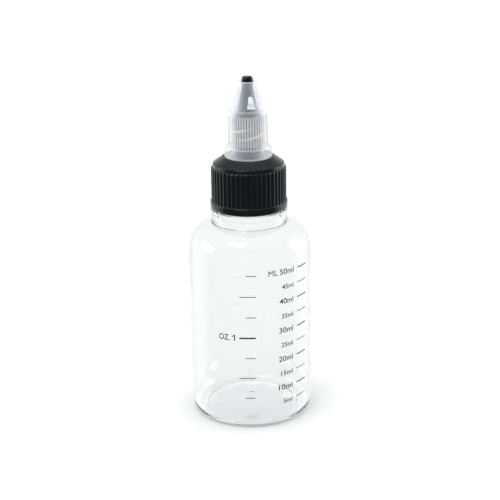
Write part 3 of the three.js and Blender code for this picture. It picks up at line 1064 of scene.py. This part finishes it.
# %% Ribs and threads of the spout
SPOUT_GRIP = {
    "Ribs": SPOUT_RIBS,
    "Rib Height": SPOUT_RIB_HEIGHT * MM,
    "Rib Share": GRIP_SHARE,
    "Bottom": (grip_bottom + 0.1) * MM,
    "Top": (grip_top - GRIP_BAND + JUST_PAST) * MM,
    "Bottom Fade": 0.35 * MM,
    "Top Fade": 0.005 * MM,
    "Inside Radius": (spout_bore + 0.3) * MM,
}
SPOUT_THREAD = {
    "Wall Radius": spout_bore * MM,
    "Ridge Height": -0.25 * MM,
    "Ridge Width": 0.8 * MM,
    "Pitch": TURRET_PITCH * MM,
    "Starts": 2,
    "Turns": 0.75,
    "First Height": (seat_floor + 5.6) * MM,
    "First Turn": 0.1,
}
spout = turned("spout_moulding", spout_section(), SPOUT_RIBS * SPOUT_COLUMNS, ring=True)
apply_tree(spout, grip_ribs, SPOUT_GRIP, frosted_spout)
apply_tree(spout, thread_ridge, SPOUT_THREAD, frosted_spout)
finished(spout, frosted_spout)
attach(spout, "spout_body")
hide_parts("twist_spout")

# %% [markdown]
# The scale is printed on the outside: ounces at the front left, millilitres at the right. A
# print is a film of ink, so each mark is a very thin solid laid on the skin and bent round it.
# The marks repeat up the wall, so Geometry Nodes lay them out: every second mark is longer or
# thicker, and the same tree bends them to the bottle's radius. The whole print leans a little.

# %% Tree for scale marks
TICK_SIZES = ["First Height", "Step", "Right End", "Short Length", "Long Length"]
TICK_SIZES += ["Thin", "Thick", "Film", "Radius"]
TICK_STEPS = 10
PRINT_LEAN = 0.0174
PRINT_MIDDLE = 30 * MM


def alternate(tree, index, even, odd):
    """The first number on even marks and the second on odd ones."""
    is_odd = sum_of(tree, "MODULO", index, 2.0)
    return sum_of(tree, "MULTIPLY_ADD", is_odd, sum_of(tree, "SUBTRACT", odd, even), even)


def bend_round(tree, geometry, radius):
    """Lay a flat drawing, x across and y up, round an upright cylinder; its z becomes depth."""
    across, up, depth = parts_of(tree, tree.nodes.new("GeometryNodeInputPosition").outputs[0])
    above = sum_of(tree, "SUBTRACT", up, PRINT_MIDDLE)
    along = sum_of(tree, "MULTIPLY_ADD", above, PRINT_LEAN, across)
    angle = sum_of(tree, "DIVIDE", along, radius)
    reach = sum_of(tree, "ADD", radius, depth)
    x = sum_of(tree, "MULTIPLY", reach, sum_of(tree, "SINE", angle))
    y = sum_of(tree, "MULTIPLY", reach, sum_of(tree, "MULTIPLY", sum_of(tree, "COSINE", angle), -1.0))
    bent = vector_of(tree, X=x, Y=y, Z=up)
    move = add_node(tree, "GeometryNodeSetPosition", Geometry=geometry, Position=bent)
    return move.outputs["Geometry"]


def tick_tree():
    tree, source, output = new_shape_tree("scale marks", ["Count"], TICK_SIZES)
    given = source.outputs
    start = vector_of(tree, X=given["Right End"], Y=given["First Height"])
    step = vector_of(tree, Y=given["Step"])
    line = add_node(tree, "GeometryNodeMeshLine", Count=given["Count"], Offset=step)
    feed_all(tree, line, Start_Location=start)
    size = vector_of(tree, X=1.0, Y=1.0, Z=given["Film"])
    bar = add_node(tree, "GeometryNodeMeshCube", Size=size, Vertices_X=TICK_STEPS).outputs["Mesh"]
    ending_here = add_node(tree, "GeometryNodeTransform", Geometry=bar, Translation=(-0.5, 0, 0))
    index = tree.nodes.new("GeometryNodeInputIndex").outputs[0]
    length = alternate(tree, index, given["Short Length"], given["Long Length"])
    height = alternate(tree, index, given["Thin"], given["Thick"])
    scale = vector_of(tree, X=length, Y=height, Z=1.0)
    marks = add_node(tree, "GeometryNodeInstanceOnPoints", Points=line.outputs["Mesh"], Scale=scale)
    feed_all(tree, marks, Instance=ending_here.outputs["Geometry"])
    real = add_node(tree, "GeometryNodeRealizeInstances", Geometry=marks.outputs["Instances"])
    bent = bend_round(tree, real.outputs["Geometry"], given["Radius"])
    ends_of_tree(tree, bent, given["Material"], output)
    return tree


def wrap_tree():
    """The same bend, for lettering that is already a mesh."""
    tree, source, output = new_shape_tree("print wrap", [], ["Radius"])
    bent = bend_round(tree, source.outputs["Geometry"], source.outputs["Radius"])
    ends_of_tree(tree, bent, source.outputs["Material"], output)
    return tree


# %% Print sizes
FILM = 0.03
print_radius = BODY_RADIUS + FILM
DEGREE = math.radians(1) * print_radius
ML_FIRST = 8.22
ML_STEP = 4.714
OZ_FIRST = 10.40
OZ_STEP = 6.64
ML_RIGHT = 61.5 * DEGREE
OZ_RIGHT = 4.3 * DEGREE
LABEL_RIGHT = 42.5 * DEGREE
ML_LENGTH = 13.8 * DEGREE
FINE_LINE = 0.22
MIDDLE_LINE = 0.34
ML_TITLE_RIGHT = 24.6 * DEGREE
ML_TITLE_WIDTH = 9.0 * DEGREE
OZ_TITLE_RIGHT = -20.2 * DEGREE
OZ_TITLE_WIDTH = 10.5 * DEGREE
ONE_RIGHT = -14.9 * DEGREE

ML_TICKS = {
    "Count": 10,
    "First Height": ML_FIRST * MM,
    "Step": ML_STEP * MM,
    "Right End": ML_RIGHT * MM,
    "Short Length": ML_LENGTH * MM,
    "Long Length": ML_LENGTH * MM,
    "Thin": FINE_LINE * MM,
    "Thick": MIDDLE_LINE * MM,
    "Film": FILM * MM,
    "Radius": print_radius * MM,
}
OZ_TICKS = {
    **ML_TICKS,
    "Count": 3,
    "First Height": OZ_FIRST * MM,
    "Step": OZ_STEP * MM,
    "Right End": OZ_RIGHT * MM,
    "Short Length": 9.4 * DEGREE * MM,
    "Long Length": 15.3 * DEGREE * MM,
    "Thin": FINE_LINE * MM,
    "Thick": FINE_LINE * MM,
}

# %% Scale marks
LETTER_STEPS = 4
mark_tree = tick_tree()
lettering_tree = wrap_tree()
print("trees:", mark_tree.name, "and", lettering_tree.name)


def printed_marks(name, values):
    """One run of scale marks, one below the other."""
    piece = put_in_scene(name, bpy.data.meshes.new(name))
    return apply_tree(piece, mark_tree, values, scale_ink)


def wrapped(name, mesh):
    """A flat drawing, bent round the bottle."""
    piece = put_in_scene(name, mesh)
    return apply_tree(piece, lettering_tree, {"Radius": print_radius * MM}, scale_ink)


def lettering(name, words, right, baseline, width, height, weight):
    """Words as a thin mesh, drawn to a real width and cap height, ending at their right side."""
    curve = bpy.data.curves.new(name, "FONT")
    curve.body = words
    curve.resolution_u = LETTER_STEPS
    curve.extrude = 0.5
    curve.offset = weight
    text = put_in_scene(name, curve)
    mesh = plain_mesh(text)
    bpy.data.objects.remove(text)
    xs = [v.co.x for v in mesh.vertices]
    ys = [v.co.y for v in mesh.vertices]
    scale_x = width / (max(xs) - min(xs))
    scale_y = height / (max(ys) - min(ys))
    for v in mesh.vertices:
        x = right - (max(xs) - v.co.x) * scale_x
        y = baseline + (v.co.y - min(ys)) * scale_y
        v.co = (x * MM, y * MM, v.co.z * FILM * MM)
    return wrapped(name, mesh)


# %% The figure of one ounce
ONE_STEM = 0.16
ONE_FLAG = 0.3


def one_mark(right, baseline, height):
    """The figure 1, with its flag, as a plain flat shape."""
    stem = ONE_STEM * height
    flag = ONE_FLAG * height
    shape = [(0, 0), (0, height), (-stem * 0.8, height), (-stem - flag, height - flag)]
    shape += [(-stem - flag, height - flag * 1.5), (-stem, height - flag * 0.75), (-stem, 0)]
    count = len(shape)
    spots = [((right + x) * MM, (baseline + y) * MM, z * MM) for z in (0, FILM) for x, y in shape]
    sides = [(k, (k + 1) % count, count + (k + 1) % count, count + k) for k in range(count)]
    mesh = bpy.data.meshes.new("label_one")
    mesh.from_pydata(spots, [], [range(count)[::-1], range(count, 2 * count), *sides])
    return wrapped("label_one", mesh)


# %% Lettering of the two scales
TENS_HEIGHT = 1.78
FIVES_HEIGHT = 1.5
LABEL_DROP = 0.95
WIDTH_TO_HEIGHT = {1: 2.25, 2: 2.9}
LABEL_WEIGHT = 0.009
OUNCE_WEIGHT = 0.012
OUNCE_HEIGHT = 1.9
ONE_HEIGHT = 2.0
WHOLE_OUNCE_LINE = 0.48

printed = [printed_marks("millilitre_marks", ML_TICKS), printed_marks("low_ounce_marks", OZ_TICKS)]
high_marks = {**OZ_TICKS, "First Height": (OZ_FIRST + 4 * OZ_STEP) * MM}
printed.append(printed_marks("high_ounce_marks", high_marks))
whole_ounce = {**OZ_TICKS, "Count": 1, "First Height": (OZ_FIRST + 3 * OZ_STEP) * MM}
whole_ounce.update({"Short Length": OZ_TICKS["Long Length"], "Thin": WHOLE_OUNCE_LINE * MM})
printed.append(printed_marks("whole_ounce_mark", whole_ounce))
for k in range(10):
    amount = 5 * (k + 1)
    is_ten = amount % 10 == 0
    height = TENS_HEIGHT if is_ten else FIVES_HEIGHT
    width = height * WIDTH_TO_HEIGHT[len(str(amount))]
    baseline = ML_FIRST + ML_STEP * k - LABEL_DROP
    where = (LABEL_RIGHT, baseline, width, height)
    printed.append(lettering(f"label_{amount}", f"{amount}ml", *where, LABEL_WEIGHT))
top_label = ML_FIRST + ML_STEP * 9 - LABEL_DROP
where = (ML_TITLE_RIGHT, top_label, ML_TITLE_WIDTH, TENS_HEIGHT)
printed.append(lettering("label_ml", "ML", *where, 0.0))
ounce_label = OZ_FIRST + OZ_STEP * 3 - LABEL_DROP
where = (OZ_TITLE_RIGHT, ounce_label, OZ_TITLE_WIDTH, OUNCE_HEIGHT)
printed.append(lettering("label_oz", "OZ.", *where, OUNCE_WEIGHT))
printed.append(one_mark(ONE_RIGHT, ounce_label, ONE_HEIGHT))
print("printed:", len(printed), "runs of marks and labels")

# %% The whole print as one piece
SAME_POINT = 0.002 * MM


def joined(name, pieces):
    """Several meshes as one piece, with each one's own seams closed."""
    body = bmesh.new()
    for piece in pieces:
        body.from_mesh(piece.data)
        bpy.data.objects.remove(piece)
    mesh = bpy.data.meshes.new(name)
    bmesh.ops.remove_doubles(body, verts=body.verts, dist=SAME_POINT)
    bmesh.ops.recalc_face_normals(body, faces=body.faces)
    body.to_mesh(mesh)
    body.free()
    return put_in_scene(name, mesh)


scale_print = finished(joined("scale_print", printed), scale_ink)
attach(scale_print, "bottle_body")

# %% [markdown]
# The stage is a wide white table in a white room. Clear and glossy plastics show what stands
# round them, so the room has two faces. What lights and shows through the pack is white all
# round. What the plastics mirror is a studio: pale behind the pack and overhead, and dark on the
# side of the camera, with soft boxes at both sides and above the front. The dark side keeps the
# closure black, and the boxes draw the shoulder of the bottle. Seen through the plastic, most of
# the table's light is its own, so that the clear wall does not gather shade from it.

# %% White table
FLOOR_SIZE = 6.0
TABLE_THROUGH_PLASTIC = 0.96
TABLE_SHARE = 0.8
TABLE_TONE = (0.96, 0.96, 0.96, 1)
TABLE_GAP = 0.05 * MM


def make_floor():
    """A wide white table, a hair below the standing ring."""
    mesh = bpy.data.meshes.new("floor")
    half = FLOOR_SIZE / 2
    corners = [(x * half, y * half, -TABLE_GAP) for x, y in ((-1, -1), (1, -1), (1, 1), (-1, 1))]
    mesh.from_pydata(corners, [], [(0, 1, 2, 3)])
    floor = put_in_scene("floor", mesh)
    material, tree, shader = new_material("white table")
    feed_all(tree, shader, Base_Color=TABLE_TONE, Roughness=0.9, Specular_IOR_Level=0.1)
    glow = add_node(tree, "ShaderNodeEmission", Strength=TABLE_THROUGH_PLASTIC)
    path = tree.nodes.new("ShaderNodeLightPath").outputs
    seen_through = sum_of(tree, "MULTIPLY", path["Is Transmission Ray"], TABLE_SHARE)
    show_instead(tree, seen_through, shader, glow, "Material Output")
    mesh.materials.append(material)
    floor.visible_glossy = False


make_floor()
print("table:", FLOOR_SIZE, "m wide")

# %% Soft boxes
LAMP_ON_TABLE = 0.35
LAMPS_LOOK_AT = Vector((0, 0, 0.06))
SOFT_BOXES = (
    ("left box", (-0.56, 0.04, 0.24), (0.34, 0.20), 2.6),
    ("right box", (0.56, 0.12, 0.22), (0.30, 0.26), 2.6),
    ("front box", (-0.19, -0.22, 0.58), (0.27, 0.17), 3.6),
)


def soft_box(name, place, size, brightness):
    """A flat lamp that looks at the middle of the bottle; brightness is its radiance."""
    width, height = size
    light = bpy.data.lights.new(name, "AREA")
    light.shape = "RECTANGLE"
    light.size = width
    light.size_y = height
    light.energy = brightness * math.pi * width * height
    light.diffuse_factor = LAMP_ON_TABLE
    lamp = put_in_scene(name, light)
    away = Vector(place) - LAMPS_LOOK_AT
    lamp.matrix_world = Matrix.Translation(place) @ away.to_track_quat("Z", "Y").to_matrix().to_4x4()


for box in SOFT_BOXES:
    soft_box(*box)
print("soft boxes:", len(SOFT_BOXES))

# %% White room and mirrored studio
ROOM_LIGHT = 1.1
MIRRORED_FRONT = 0.06
MIRRORED_BACK = 1.3
MIRRORED_ABOVE = 0.4
BACK_WALL_FADE = (-0.2, 0.25)
BACK_WALL_HEIGHT = 0.7
BACK_WALL_TOP = 0.35
OVERHEAD_POWER = 6.0


def make_room():
    """White for light and for what shows through, and a studio for what is mirrored."""
    world = bpy.data.worlds.new("white room")
    world.use_nodes = True
    tree = world.node_tree
    white = feed_all(tree, tree.nodes["Background"], Color=(1, 1, 1, 1), Strength=ROOM_LIGHT)
    x, y, z = parts_of(tree, tree.nodes.new("ShaderNodeTexCoord").outputs["Generated"])
    back = add_range(tree, y, 0, 1, From_Min=BACK_WALL_FADE[0], From_Max=BACK_WALL_FADE[1])
    low = add_range(tree, z, 1, BACK_WALL_TOP, From_Max=BACK_WALL_HEIGHT)
    wall = sum_of(tree, "MULTIPLY", back, low)
    level = add_range(tree, wall, MIRRORED_FRONT, MIRRORED_BACK)
    above = sum_of(tree, "POWER", sum_of(tree, "MAXIMUM", z, 0.0), OVERHEAD_POWER)
    level = sum_of(tree, "MULTIPLY_ADD", above, MIRRORED_ABOVE, level)
    studio = add_node(tree, "ShaderNodeBackground", Strength=level)
    path = tree.nodes.new("ShaderNodeLightPath").outputs
    mirrored = sum_of(tree, "MULTIPLY", path["Is Glossy Ray"], path["Is Reflection Ray"])
    show_instead(tree, mirrored, white, studio, "World Output")
    scene.world = world


make_room()
scene.view_settings.view_transform = "Standard"
print("room light:", ROOM_LIGHT)
